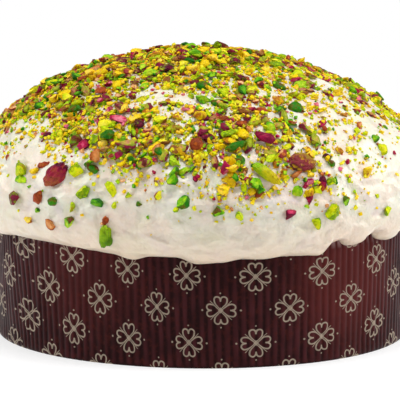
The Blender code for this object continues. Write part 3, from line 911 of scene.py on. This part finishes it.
def make_icing():
    """The thick icing: a turned shell with a rounded lip, pulled down in runs and left uneven."""
    edge = icing_edge()
    bm = bmesh.new()
    verts = [bm.verts.new((radius, 0.0, height)) for radius, height in icing_profile()]
    edges = [bm.edges.new(pair) for pair in zip(verts, verts[1:])]
    bmesh.ops.spin(
        bm,
        geom=verts + edges,
        axis=(0.0, 0.0, 1.0),
        cent=(0.0, 0.0, 0.0),
        angle=math.tau,
        steps=ICING_SIDES,
        use_merge=True,
    )
    bmesh.ops.remove_doubles(bm, verts=bm.verts, dist=1e-6)
    for vert in bm.verts:
        point = vert.co
        radius = point.xy.length
        outside = radius > MOULD_RADIUS + 0.2 * MM and (
            point.z < BULGE_HEIGHT or point.z > dome_height(radius) - 0.5 * MM
        )
        on_paper = abs(radius - MOULD_RADIUS - 0.1 * MM) < 0.05 * MM and point.z < MOULD_HEIGHT
        top = radius <= MOULD_RADIUS + 0.2 * MM and point.z > dome_height(radius) - 0.5 * MM
        if (outside and point.z < BULGE_HEIGHT) or on_paper:
            stretch = (BULGE_HEIGHT - edge_height(azimuth_of(point), edge)) / (BULGE_HEIGHT - EDGE_HEIGHT)
            point.z = BULGE_HEIGHT - (BULGE_HEIGHT - point.z) * stretch
        if outside or top:
            out = Vector((point.x, point.y, point.z - BULGE_HEIGHT / 2)).normalized()
            hold = 1.0
            if outside and point.z < BULGE_HEIGHT:
                hold = smooth_step(0.0, 5.0 * MM, radius - MOULD_RADIUS)
            vert.co = point + out * icing_relief(point) * hold
    facing_out(bm)
    icing = finished(bm, "poured_icing")
    icing.data.materials.append(white_icing())
    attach(icing, "root")
    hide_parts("icing")
    return icing


def white_icing():
    """Set white chocolate icing: cream, a little see-through at thin edges, with a soft gloss."""
    material, tree, surface = new_material("white chocolate icing, set")
    place = add(tree, "ShaderNodeTexCoord").outputs["Object"]
    level = add(tree, "ShaderNodeSeparateXYZ", {"Vector": place}).outputs["Z"]
    colour = linear("F0EBD9")
    for hex_colour, scale, low, high, most in ICING_TINTS:
        cloudy = {"Vector": place, "Scale": scale, "Detail": 2.0, "Distortion": 0.6}
        spots = add(tree, "ShaderNodeTexNoise", cloudy)
        fade = {"Value": spots.outputs["Fac"], "From Min": low, "From Max": high, "To Max": most}
        share = add(tree, "ShaderNodeMapRange", fade).outputs["Result"]
        tinted = {"Factor": share, "A": colour, "B": linear(hex_colour)}
        colour = add(tree, "ShaderNodeMix", tinted, data_type="RGBA").outputs["Result"]
    waves = add(tree, "ShaderNodeTexNoise", {"Vector": place, "Scale": 125.0, "Detail": 3.0})
    rippled = {"Height": waves.outputs["Fac"], "Strength": 1.0, "Distance": 0.003}
    ripples = add(tree, "ShaderNodeBump", rippled)
    rim = {"Value": level, "From Min": 0.076, "From Max": 0.054, "To Max": 0.8}
    foot = add(tree, "ShaderNodeMapRange", rim).outputs["Result"]
    peach = {"Factor": foot, "A": colour, "B": linear("E9D2B8")}
    colour = add(tree, "ShaderNodeMix", peach, data_type="RGBA").outputs["Result"]
    shader = add(
        tree,
        "ShaderNodeBsdfPrincipled",
        {
            "Base Color": colour,
            "Roughness": 0.36,
            "IOR": 1.46,
            "Subsurface Weight": 0.25,
            "Subsurface Radius": (1.0, 0.75, 0.5),
            "Subsurface Scale": 0.004,
            "Coat Weight": 0.25,
            "Coat Roughness": 0.22,
            "Normal": ripples.outputs["Normal"],
        },
    )
    tree.links.new(shader.outputs["BSDF"], surface)
    return material


def make_bread():
    """The bread stays as the part has it, since icing and paper hide it: only its crumb is dressed."""
    material, tree, surface = new_material("panettone crumb")
    place = add(tree, "ShaderNodeTexCoord").outputs["Object"]
    holes = add(tree, "ShaderNodeTexNoise", {"Vector": place, "Scale": 160.0, "Detail": 3.0})
    gold = add(
        tree,
        "ShaderNodeMix",
        {"Factor": holes.outputs["Fac"], "A": linear("D9A65A"), "B": linear("F0CE86")},
        data_type="RGBA",
    )
    shader = add(tree, "ShaderNodeBsdfPrincipled", {"Base Color": gold.outputs["Result"], "Roughness": 0.8})
    tree.links.new(shader.outputs["BSDF"], surface)
    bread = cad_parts["bread"]
    bread.data.materials.clear()
    bread.data.materials.append(material)


# Nuts


def dome_table():
    """The icing's dome as (distance from the top, radius, height), down to its widest."""
    rows = [(0.0, 0.0, dome_height(0.0))]
    for i in range(1, 401):
        radius = DOME_RADIUS * math.sin(math.pi / 2 * i / 400)
        height = dome_height(radius)
        far, last_radius, last_height = rows[-1]
        rows.append((far + math.hypot(radius - last_radius, height - last_height), radius, height))
    return np.array(rows).T


def seat_on(surface, azimuth, distance):
    """A frame on the icing there: +Z out of it and +X round the cake, or None past its edge."""
    tree, (far, radii, heights) = surface
    radius = float(np.interp(distance, far, radii))
    height = float(np.interp(distance, far, heights)) - max(distance - far[-1], 0.0)
    step = 0.5 * MM
    run = float(np.interp(distance + step, far, radii) - np.interp(distance - step, far, radii))
    fall = float(np.interp(distance - step, far, heights) - np.interp(distance + step, far, heights))
    if distance + step > far[-1]:
        run, fall = 0.0, 1.0
    out = place_round(azimuth, fall, run).normalized()
    hit, normal, _, _ = tree.ray_cast(place_round(azimuth, radius, height) + out * 10.0 * MM, -out)
    if hit is None:
        return None
    up = (out + normal).normalized()
    side = Vector((math.cos(math.radians(azimuth)), math.sin(math.radians(azimuth)), 0.0))
    side = (side - up * side.dot(up)).normalized()
    rotation = Matrix((side, up.cross(side), up)).transposed()
    return Matrix.Translation(hit) @ rotation.to_4x4()


def cells_under(azimuth, distance, radius):
    """The cells of the heap, 1 mm each on the flattened dome, that a thing that size covers."""
    angle = math.radians(azimuth)
    x = HEAP_REACH + distance / MM * math.sin(angle)
    y = HEAP_REACH - distance / MM * math.cos(angle)
    reach = max(radius / MM, 0.8)
    left, right = int(x - reach), int(x + reach) + 2
    low, high = int(y - reach), int(y + reach) + 2
    across, up = np.meshgrid(np.arange(left, right) - x, np.arange(low, high) - y, indexing="ij")
    return (slice(left, right), slice(low, high)), across**2 + up**2 <= reach**2


def chip_shape(draw, cuts, detail, roundness=0.25, worn=0):
    """A piece of kernel: what is left of a skinned ball after some cuts, one unit long and wide.

    Its edges are rubbed down as many times as it is worn, and a worn piece is shaded smoothly.
    The colour attribute "chip" holds the piece's tone, the depth below the skin, and 1 on skin.
    """
    bm = bmesh.new()
    if detail:
        bmesh.ops.create_icosphere(bm, subdivisions=detail, radius=1.0)
    else:
        bmesh.ops.create_cube(bm, size=1.15)
    skin = bm.faces.layers.float.new("skin")
    for face in bm.faces:
        face[skin] = 1.0
    for _ in range(cuts):
        normal = Vector([draw.gauss(0, 1) for _ in range(3)]).normalized()
        cut = bmesh.ops.bisect_plane(
            bm,
            geom=bm.verts[:] + bm.edges[:] + bm.faces[:],
            plane_co=normal * draw.uniform(0.1, 0.65),
            plane_no=normal,
            clear_outer=True,
        )
        edges = [part for part in cut["geom_cut"] if isinstance(part, bmesh.types.BMEdge)]
        for face in bmesh.ops.edgeloop_fill(bm, edges=edges)["faces"]:
            face[skin] = 0.0
    bmesh.ops.remove_doubles(bm, verts=bm.verts, dist=0.06)
    bmesh.ops.poke(bm, faces=[face for face in bm.faces if len(face.verts) > 4])
    facing_out(bm)
    shift = Vector([draw.uniform(0, 9) for _ in range(3)])
    colour = bm.loops.layers.float_color.new("chip")
    for face in bm.faces:
        for loop in face.loops:
            depth = min(max((1.0 - loop.vert.co.length) * 1.8, 0.0), 1.0)
            loop[colour] = (0.5, depth, face[skin] if detail else 0.0, 1.0)
    for vert in bm.verts:
        vert.co += noise.noise_vector(vert.co * 1.3 + shift) * roundness
    for _ in range(worn):
        bmesh.ops.smooth_vert(
            bm,
            verts=bm.verts,
            factor=0.5,
            use_axis_x=True,
            use_axis_y=True,
            use_axis_z=True,
        )
    for face in bm.faces:
        face.smooth = worn > 0
    low = Vector([min(vert.co[i] for vert in bm.verts) for i in range(3)])
    high = Vector([max(vert.co[i] for vert in bm.verts) for i in range(3)])
    middle, size = (low + high) / 2, high - low
    for vert in bm.verts:
        vert.co = Vector([(vert.co[i] - middle[i]) / size[i] for i in range(3)])
    mesh = bpy.data.meshes.new("chip")
    bm.to_mesh(mesh)
    bm.free()
    places = np.empty(len(mesh.vertices) * 3, dtype=np.float32)
    mesh.vertices.foreach_get("co", places)
    colours = np.empty(len(mesh.loops) * 4, dtype=np.float32)
    mesh.attributes["chip"].data.foreach_get("color", colours)
    return mesh, places, colours.reshape(-1, 4)


def drop_chip(kind_mesh, shape, matrix, tone):
    """Adds a copy of the shape, set down by the matrix, to all of its kind."""
    mesh, places, colours = shape
    mesh.vertices.foreach_set("co", places)
    mesh.transform(matrix)
    colours[:, 0] = tone
    mesh.attributes["chip"].data.foreach_set("color", colours.ravel())
    kind_mesh.from_mesh(mesh)


def nut_material(name, flesh, heart, skin, roughness, blotchy=0.45):
    """Pistachio flesh, greener near the skin and yellower inside, with its papery skin where it is left on,
    and painted shade in its pits.

    Each of flesh, heart and skin is the colours between which the pieces differ.
    """
    material, tree, surface = new_material(name)
    chip = add(tree, "ShaderNodeAttribute", attribute_name="chip")
    split = add(tree, "ShaderNodeSeparateColor", {"Color": chip.outputs["Color"]})
    place = add(tree, "ShaderNodeTexCoord").outputs["Object"]
    specks = add(tree, "ShaderNodeTexNoise", {"Vector": place, "Scale": 900.0, "Detail": 3.0})
    patches = add(tree, "ShaderNodeTexNoise", {"Vector": place, "Scale": 380.0, "Detail": 3.0})
    wobble = {"Value": patches.outputs["Fac"], "From Min": 0.3, "From Max": 0.7}
    wobble.update({"To Min": -blotchy, "To Max": blotchy})
    spread = add(tree, "ShaderNodeMapRange", wobble).outputs["Result"]
    tone = add(tree, "ShaderNodeMath", {0: split.outputs["Red"], 1: spread}, operation="ADD")
    bands = []
    for colours in (flesh, heart, skin):
        ramp = add(tree, "ShaderNodeValToRGB", {"Fac": tone.outputs[0]})
        while len(ramp.color_ramp.elements) < len(colours):
            ramp.color_ramp.elements.new(0.5)
        for i, colour in enumerate(colours):
            ramp.color_ramp.elements[i].position = (i + 0.5) / len(colours)
            ramp.color_ramp.elements[i].color = linear(colour)
        bands.append(ramp.outputs["Color"])
    inner = add(
        tree,
        "ShaderNodeMix",
        {"Factor": split.outputs["Green"], "A": bands[0], "B": bands[1]},
        data_type="RGBA",
    )
    patchy = {"Value": patches.outputs["Fac"], "From Min": 0.36, "From Max": 0.46}
    kept = add(tree, "ShaderNodeMapRange", patchy).outputs["Result"]
    skinned = add(tree, "ShaderNodeMath", {0: split.outputs["Blue"], 1: kept}, operation="MULTIPLY")
    colour = add(
        tree,
        "ShaderNodeMix",
        {"Factor": skinned.outputs[0], "A": inner.outputs["Result"], "B": bands[2]},
        data_type="RGBA",
    )
    # Painted shade: a dark olive laid into the pits by noise; the same noise also makes the bump.
    pitted = {"Vector": place, "Scale": 620.0, "Detail": 2.0, "Distortion": 0.5}
    hollows = add(tree, "ShaderNodeTexNoise", pitted)
    deep = {"Value": hollows.outputs["Fac"], "From Min": 0.45, "From Max": 0.3, "To Max": 0.4}
    pit_shade = add(tree, "ShaderNodeMapRange", deep).outputs["Result"]
    pit_shaded = {"Factor": pit_shade, "A": colour.outputs["Result"], "B": linear("443408")}
    colour = add(tree, "ShaderNodeMix", pit_shaded, data_type="RGBA")
    rough = {0: specks.outputs["Fac"], 1: hollows.outputs["Fac"]}
    lumps = add(tree, "ShaderNodeMath", rough, operation="ADD").outputs[0]
    grain = add(tree, "ShaderNodeBump", {"Height": lumps, "Strength": 0.6, "Distance": 0.0008})
    shader = add(
        tree,
        "ShaderNodeBsdfPrincipled",
        {
            "Base Color": colour.outputs["Result"],
            "Roughness": roughness,
            "Specular IOR Level": 0.1,
            "Normal": grain.outputs["Normal"],
        },
    )
    tree.links.new(shader.outputs["BSDF"], surface)
    return material


def make_kernel(number, place, look):
    """A whole or half kernel, grooved and wrinkled along its length, laid on the icing."""
    azimuth, distance, turn, length, width, height = KERNELS[number]
    bm = bmesh.new()
    bmesh.ops.create_icosphere(bm, subdivisions=5, radius=0.5)
    colour = bm.loops.layers.float_color.new("chip")
    shift = Vector((number * 3.7, number * 1.3, number * 2.1))
    for vert in bm.verts:
        point = vert.co.copy()
        wrinkles = noise.noise(Vector((point.x * 2.4, point.y * 8.0, point.z * 8.0)) + shift)
        lumps = noise.noise(point * 3.2 + shift)
        groove = math.exp(-(((point.y - 0.1) / 0.07) ** 2)) if point.z > 0.0 else 0.0
        square = look["square"]
        point *= 0.5 / sum(abs(part) ** square for part in point) ** (1.0 / square)
        swell = 1.0 + look["wrinkle"] * wrinkles + look["lumps"] * lumps - look["groove"] * groove
        narrow = 1.0 - look["narrow"] * max(2.0 * point.x, 0.0) ** 2
        vert.co = Vector((point.x * length, point.y * narrow * width, point.z * height)) * swell
    for face in bm.faces:
        for loop in face.loops:
            along = loop.vert.co.x / length + 0.5
            side = loop.vert.co.y / width + 0.5
            tone = along * look["along"] + side * look["side"] + look["start"]
            loop[colour] = (min(max(tone, 0.0), 1.0), 0.3, look["skin"], 1.0)
    lift = Matrix.Translation((0.0, 0.0, height * (0.5 - KERNEL_SUNK)))
    bm.transform(place @ lift @ Matrix.Rotation(math.radians(turn), 4, "Z"))
    facing_out(bm)
    kernel = finished(bm, f"whole_kernel_{number + 1}")
    name = f"pistachio kernel, {look['name']}"
    kernel.data.materials.append(nut_material(name, *look["colours"], roughness=0.34, blotchy=0.2))
    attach(kernel, "root")
    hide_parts(f"kernel_{number + 1}")


def crowd(azimuth, distance):
    """How closely the icing is strewn there, from 0 to 1: the heap reaches lower at the front."""
    turn = (azimuth + 180.0) % 360.0 - 180.0
    half = float(np.interp(turn, CROWD_AZIMUTHS, CROWD_HALF))
    spot = place_round(azimuth, distance, 0.0) / (24.0 * MM)
    half += 11.0 * noise.noise(spot + Vector((5.0, 1.0, 3.0)))
    crowd_here = 1.0 / (1.0 + math.exp(min((distance / MM - half) / 3.4, 50.0)))
    side_share = float(np.interp(turn, CROWD_AZIMUTHS, CROWD_SHARE))
    crowd_here *= side_share ** smooth_step(30.0 * MM, 60.0 * MM, distance)
    for bare_azimuth, bare_distance, wide, deep, bareness in BARE_PATCHES:
        off = (turn - bare_azimuth + 180.0) % 360.0 - 180.0
        across = math.radians(off) * distance / wide
        crowd_here *= 1.0 - bareness * math.exp(-(across**2) - ((distance - bare_distance) / deep) ** 2)
    patchy = noise.noise(place_round(azimuth, distance, 0.0) / (11.0 * MM))
    return crowd_here * min(max(0.95 + 0.9 * patchy, 0.12), 1.0)


def dress_with_nuts(icing):
    """Strews the nuts: a first layer, then the pieces that stand out in the photo, then crumbs."""
    draw = random.Random(NUT_SEED)
    noise.seed_set(NUT_SEED)  # noise_vector, which roughens the pieces, otherwise follows the clock
    surface = (BVHTree.FromObject(icing, bpy.context.evaluated_depsgraph_get()), dome_table())
    heap = np.zeros((2 * HEAP_REACH + 1, 2 * HEAP_REACH + 1))
    shapes = {
        "chunk": [chip_shape(draw, draw.choice(CHUNK_CUTS), 2, 0.3, CHUNK_WEAR[i % 6]) for i in range(24)],
        "flake": [chip_shape(draw, draw.choice(FLAKE_CUTS), 2, 0.45, i % 2) for i in range(8)],
        "crumb": [chip_shape(draw, 2, 0) for _ in range(10)],
    }
    kinds = {name: bmesh.new() for name in NUT_KINDS}
    names = list(NUT_KINDS)
    shares = [NUT_KINDS[name]["share"] for name in names]
    crumb_shares = [NUT_KINDS[name]["crumbs"] for name in names]

    def lay(kind, shape, azimuth, distance, turn, size, tone, limit, tilt=13.0, block=False):
        """Lays a piece there on the heap, unless the heap is past the limit. With block it stays on top."""
        length, width, height = size
        footprint = 0.21 * (length + width)
        block_cells, inside = cells_under(azimuth, distance, footprint)
        under = heap[block_cells]
        ground = float(np.percentile(under[inside], 65)) * MM
        if ground > limit:
            return
        seat = seat_on(surface, azimuth, distance)
        if seat is None:
            return
        sunk = 0.3 * height if ground < 0.3 * MM else 0.2 * height
        lift = Matrix.Translation((0.0, 0.0, ground + height / 2 - sunk))
        turned = Matrix.Rotation(math.radians(turn), 4, "Z")
        tipped = Matrix.Rotation(math.radians(draw.gauss(0, tilt)), 4, "X")
        rolled = Matrix.Rotation(math.radians(draw.gauss(0, tilt)), 4, "Y")
        sized = Matrix.Diagonal((length, width, height, 1.0))
        matrix = seat @ lift @ turned @ tipped @ rolled @ sized
        drop_chip(kinds[kind], draw.choice(shapes[shape]), matrix, tone)
        top = (ground + height * 0.78 - sunk) / MM
        under[inside] = HEAP_FULL if block else np.maximum(under[inside], top)

    for number, (azimuth, distance, _, length, width, _) in enumerate(KERNELS):
        make_kernel(number, seat_on(surface, azimuth, distance), KERNEL_LOOKS[number % 4])
        block_cells, inside = cells_under(azimuth, distance, 0.24 * (length + width))
        heap[block_cells][inside] = HEAP_FULL
    for _ in range(CHIP_TRIES):
        x, y = draw.uniform(-1, 1), draw.uniform(-1, 1)
        distance = math.hypot(x, y) * HEAP_REACH * MM
        azimuth = math.degrees(math.atan2(x, -y))
        if distance > CHIP_REACH or draw.random() > crowd(azimuth, distance):
            continue
        if draw.random() > max(np.interp(distance, surface[1][0], surface[1][1]) / max(distance, MM), 0.3):
            continue
        kind = draw.choices(names, shares)[0]
        recipe = NUT_KINDS[kind]
        lengths = [draw.uniform(low, high) for low, high in CHIP_LENGTHS]
        length = draw.choices(lengths, LENGTH_SHARES)[0] * recipe["size"] * MM
        size = (length, length * draw.uniform(0.42, 0.9), length * recipe["thick"] * draw.uniform(0.7, 1.1))
        turn = draw.uniform(0, 360)
        lay(kind, recipe["shape"], azimuth, distance, turn, size, draw.random(), HEAP_LIMIT)
    for kind, azimuth, distance, turn, length, width, height, tone in PLACED:
        recipe = NUT_KINDS[kind]
        size = (length * MM, width * MM, height * MM)
        lay(kind, recipe["shape"], azimuth, distance * MM, turn, size, tone, 2 * HEAP_LIMIT, 6.0, True)
    for _ in range(CRUMB_TRIES):
        x, y = draw.uniform(-1, 1), draw.uniform(-1, 1)
        distance = math.hypot(x, y) * HEAP_REACH * MM
        azimuth = math.degrees(math.atan2(x, -y))
        near, far = crowd(azimuth, distance * 0.96), crowd(azimuth, distance * 0.9)
        spread = max(near**0.6, 0.15 * far, 0.004)
        if distance > CRUMB_REACH or draw.random() > spread:
            continue
        kind = draw.choices(names, crumb_shares)[0]
        length = draw.choice([draw.uniform(low, high) for low, high in CRUMB_LENGTHS]) * MM
        size = (length, length * draw.uniform(0.6, 1.0), length * draw.uniform(0.5, 0.9))
        lay(kind, "crumb", azimuth, distance, draw.uniform(0, 360), size, draw.random(), CRUMB_LIMIT)
    for name, bm in kinds.items():
        recipe = NUT_KINDS[name]
        piece = finished(bm, name, smooth=None)
        piece.data.materials.append(nut_material(name.replace("_", " "), *recipe["colours"], recipe["rough"]))
        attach(piece, "root")
        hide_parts("icing")


# Studio


def make_floor():
    """A white table with a faint glow of its own, so that only soft shadows show on it."""
    bm = bmesh.new()
    bmesh.ops.create_circle(bm, cap_ends=True, segments=96, radius=TABLE_RADIUS)
    floor = finished(bm, "white_table", smooth=False)
    material, tree, surface = new_material("white table")
    shader = add(
        tree,
        "ShaderNodeBsdfPrincipled",
        {
            "Base Color": linear("A2A2A3"),
            "Roughness": 0.6,
            "Specular IOR Level": 0.1,
            "Emission Color": linear("FFFFFF"),
            "Emission Strength": 0.7,
        },
    )
    tree.links.new(shader.outputs["BSDF"], surface)
    floor.data.materials.append(material)


def make_light(name, place, size, watts, colour="FFFFFF"):
    """A soft box that faces the cake."""
    light = bpy.data.lights.new(name, "AREA")
    light.shape = "RECTANGLE"
    light.size, light.size_y = size
    light.energy = watts
    light.color = linear(colour)[:3]
    box = bpy.data.objects.new(name, light)
    box.location = place
    towards = Vector((0.0, 0.0, 0.08)) - Vector(place)
    box.rotation_euler = towards.to_track_quat("-Z", "Y").to_euler()
    bpy.context.scene.collection.objects.link(box)


def make_studio():
    """A white table and room, with a soft box at each side and one overhead."""
    make_floor()
    world = bpy.data.worlds.new("studio")
    bpy.context.scene.world = world
    world.use_nodes = True
    tree = world.node_tree
    tree.nodes.clear()
    direction = add(tree, "ShaderNodeTexCoord").outputs["Generated"]
    level = add(tree, "ShaderNodeSeparateXYZ", {"Vector": direction}).outputs["Z"]
    dimmer = {"Value": level, "From Min": 0.0, "From Max": 0.05, "To Min": 1.0, "To Max": ROOM_LIGHT}
    strength = add(tree, "ShaderNodeMapRange", dimmer).outputs["Result"]
    white = {"Color": linear("FFFFFF"), "Strength": strength}
    room = add(tree, "ShaderNodeBackground", white).outputs["Background"]
    add(tree, "ShaderNodeOutputWorld", {"Surface": room})
    make_light("right_box", (1.3, 0.0, 0.7), (0.5, 0.8), 9.6)
    make_light("left_box", (-1.3, -0.1, 0.7), (0.5, 0.8), 6.9)
    make_light("top_box", (0.1, -0.3, 1.5), (0.6, 0.5), 15.2)
    view = bpy.context.scene.view_settings
    view.view_transform = "Standard"
    view.look = "None"


def make_camera():
    """A long lens 1.3 m away, a little above the cake and looking slightly down."""
    camera = bpy.data.cameras.new("camera")
    camera.sensor_width = 36.0
    camera.lens = 230.7
    holder = bpy.data.objects.new("camera", camera)
    pitch, yaw, roll = 0.1396, 0.0009, 0.0045
    turned = Matrix.Rotation(yaw, 4, "Z") @ Matrix.Rotation(math.pi / 2 - pitch, 4, "X")
    holder.matrix_world = Matrix.Translation((0.0, -1.3, 0.24896)) @ turned @ Matrix.Rotation(roll, 4, "Z")
    bpy.context.scene.collection.objects.link(holder)
    bpy.context.scene.camera = holder


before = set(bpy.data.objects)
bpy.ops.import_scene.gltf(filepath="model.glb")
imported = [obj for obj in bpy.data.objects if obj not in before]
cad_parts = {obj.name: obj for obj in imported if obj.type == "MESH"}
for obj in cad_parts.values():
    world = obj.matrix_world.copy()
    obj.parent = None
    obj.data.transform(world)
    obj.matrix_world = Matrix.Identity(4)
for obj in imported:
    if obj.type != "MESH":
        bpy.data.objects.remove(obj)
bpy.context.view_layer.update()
make_camera()
make_studio()
make_mould()
icing = make_icing()
make_bread()
dress_with_nuts(icing)
